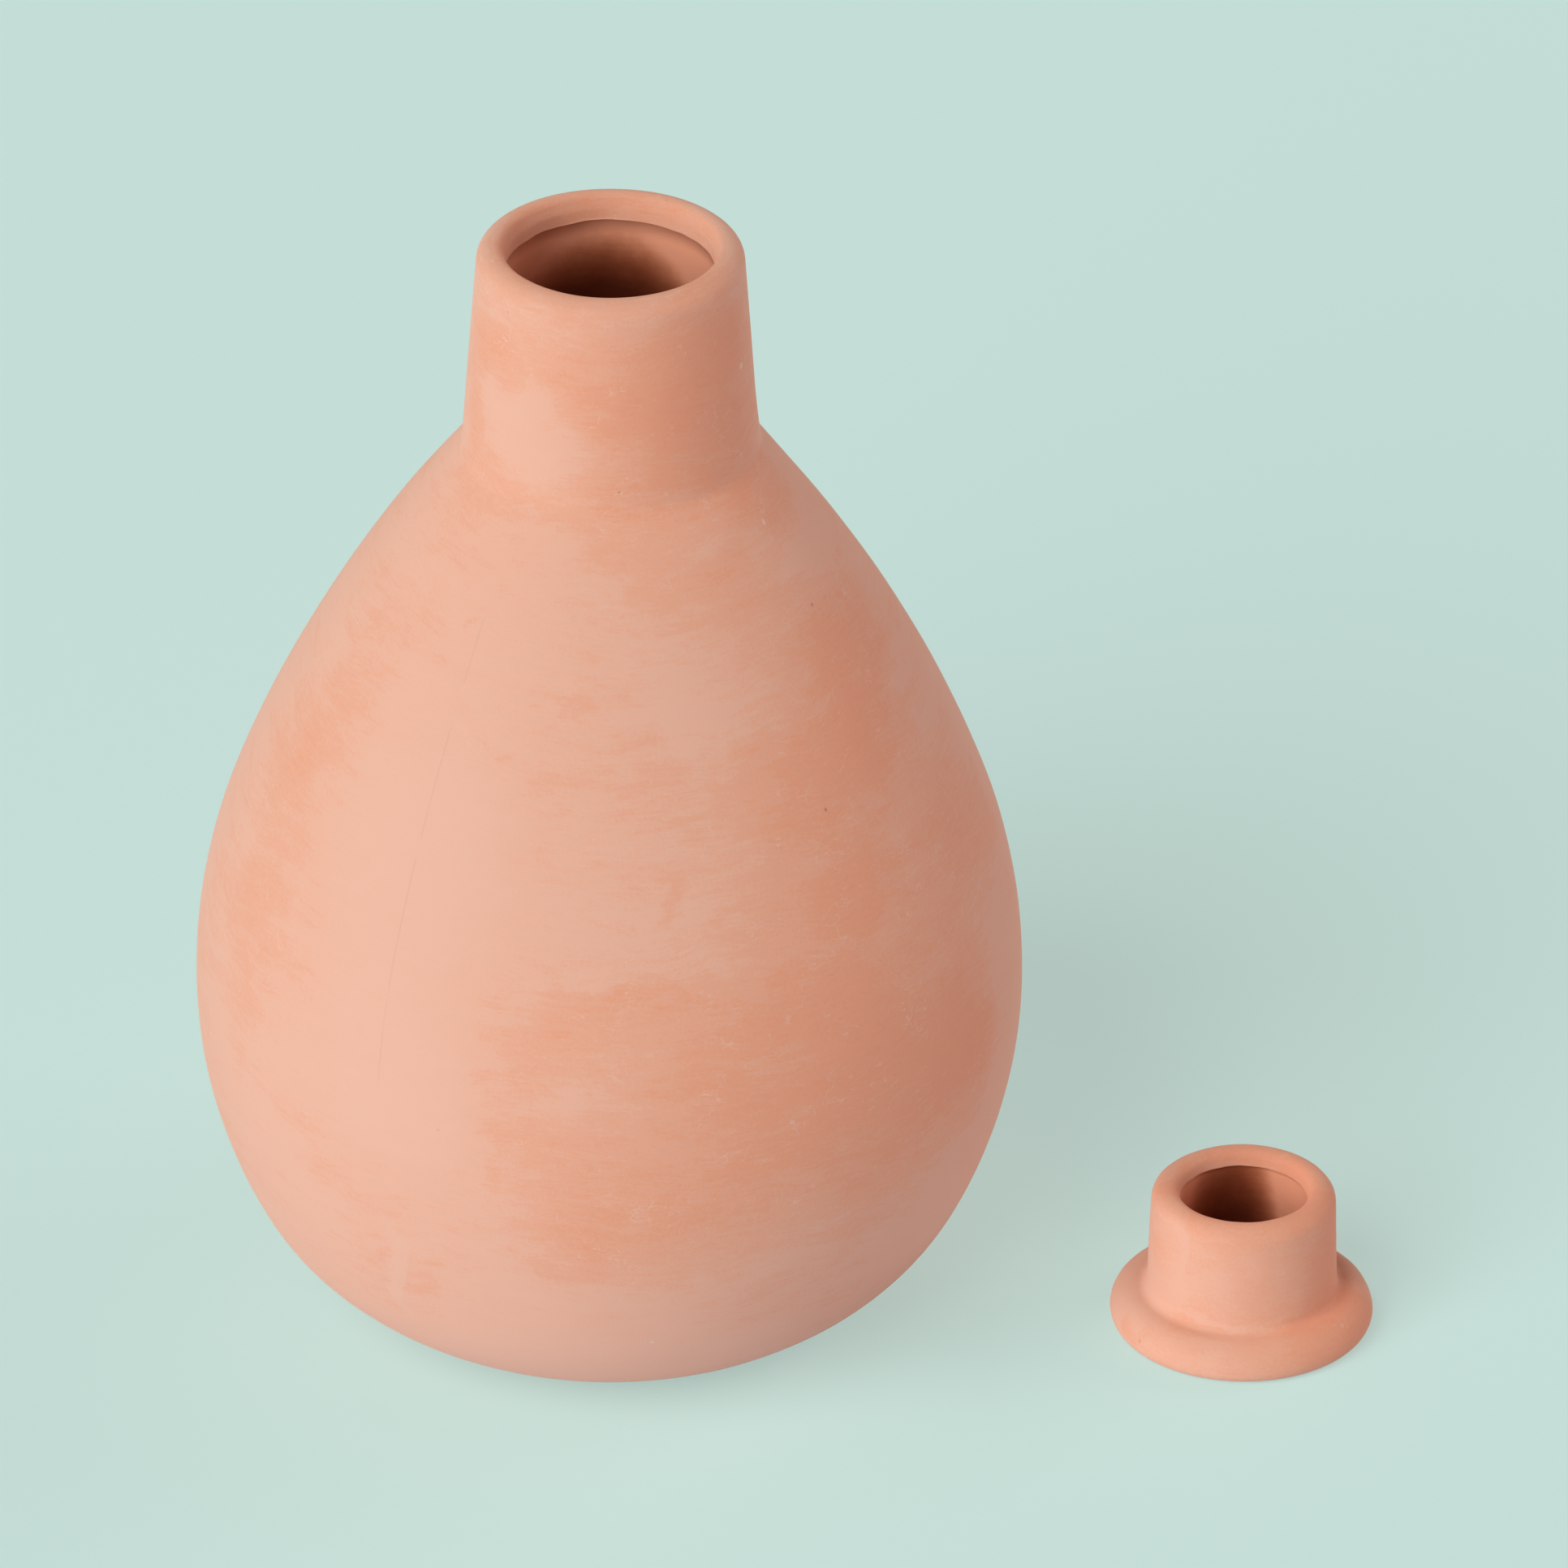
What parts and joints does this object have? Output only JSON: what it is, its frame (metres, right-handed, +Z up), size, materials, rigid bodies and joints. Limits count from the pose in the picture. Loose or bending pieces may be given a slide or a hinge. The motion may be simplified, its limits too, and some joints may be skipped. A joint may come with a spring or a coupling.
{
  "type": "irrigation olla",
  "caption": "Unglazed terracotta irrigation olla: a pear-shaped jar with a narrow neck and rounded rim, its flanged hollow stopper standing upside down beside it.",
  "frame": {"origin": "centre of the jar's flat foot, on the surface it stands on", "axes": "+Z up along the jar's axis and out of its mouth, +X towards the side where the stopper stands"},
  "size_m": [0.303, 0.212, 0.3],
  "materials": {
    "terracotta_jar": "unglazed matt terracotta with a pale bloom",
    "terracotta_stopper": "unglazed matt terracotta"
  },
  "bodies": {
    "root": {"olla_pot": "terracotta_jar", "stopper": "terracotta_stopper"}
  },
  "joints": []
}
